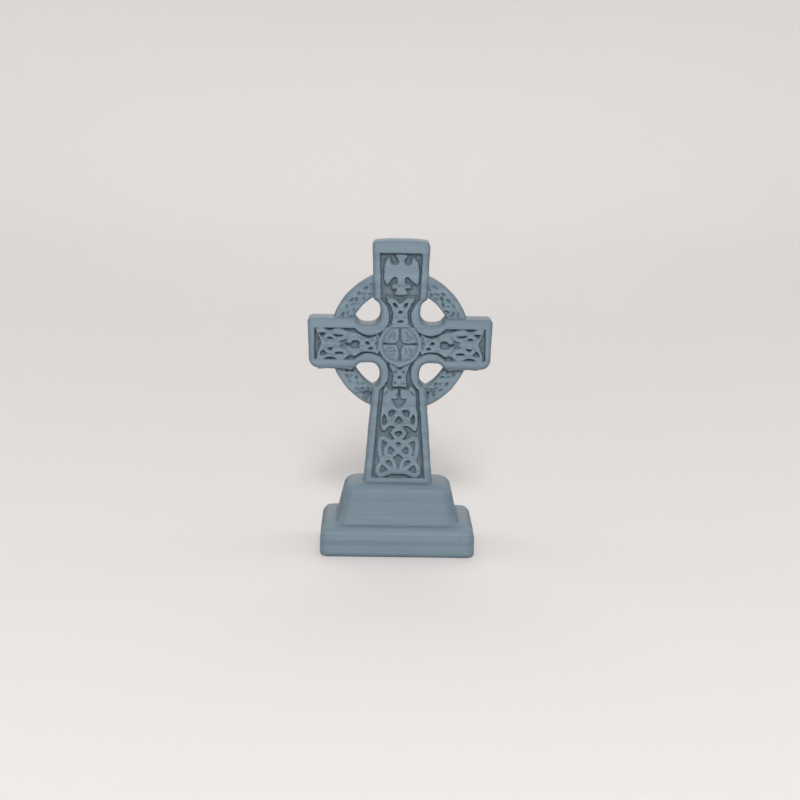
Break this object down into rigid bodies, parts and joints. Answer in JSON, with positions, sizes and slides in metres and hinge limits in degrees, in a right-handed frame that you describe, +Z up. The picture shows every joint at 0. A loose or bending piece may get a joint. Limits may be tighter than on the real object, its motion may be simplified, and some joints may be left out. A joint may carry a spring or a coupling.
{
  "type": "miniature celtic cross gravestone",
  "caption": "Printed tabletop miniature of a ringed celtic cross gravestone on a stepped plinth, with framed knotwork panels on its front.",
  "frame": {"origin": "centre of the plinth's underside, on the surface that the piece stands on", "axes": "+Z up the cross, +X to the viewer's right along the arms, -Y towards the carved front"},
  "size_m": [0.0356, 0.0222, 0.06],
  "materials": {
    "printed_plastic": "matte blue-grey printed PLA with fine layer lines"
  },
  "bodies": {
    "root": {"celtic_cross": "printed_plastic"}
  },
  "joints": []
}
